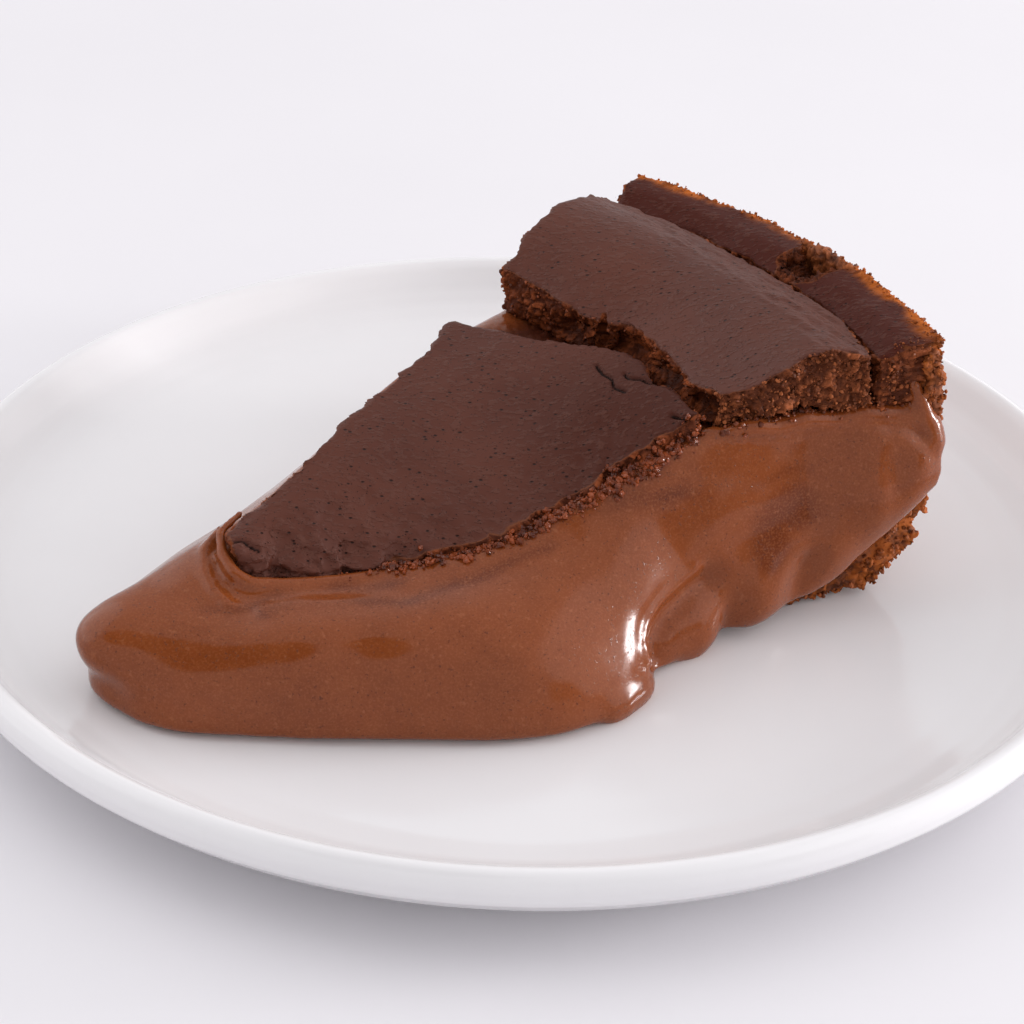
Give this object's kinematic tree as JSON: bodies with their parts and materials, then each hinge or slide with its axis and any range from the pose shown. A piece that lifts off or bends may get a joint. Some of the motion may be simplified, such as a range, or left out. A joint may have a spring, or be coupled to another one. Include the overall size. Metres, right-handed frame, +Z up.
{
  "type": "molten chocolate cake",
  "caption": "Slice of chocolate cake on a round white plate: crumb crust with a tall wall, baked top broken into slabs, molten filling run out over the plate.",
  "frame": {"origin": "centre of the plate's foot ring, on the table", "axes": "+Z up from the table; +X to the right and +Y away from the viewer of the picture, who stands on the -Y side"},
  "size_m": [0.211, 0.211, 0.0615],
  "materials": {
    "porcelain": "gloss",
    "crumb": "rough",
    "baked_top": "satin",
    "molten_chocolate": "gloss"
  },
  "bodies": {
    "root": {"plate": "porcelain", "crumb_crust": "crumb", "rim_strip": "baked_top", "rear_slab": "baked_top", "front_slab": "baked_top", "molten_filling": "molten_chocolate"}
  },
  "joints": []
}
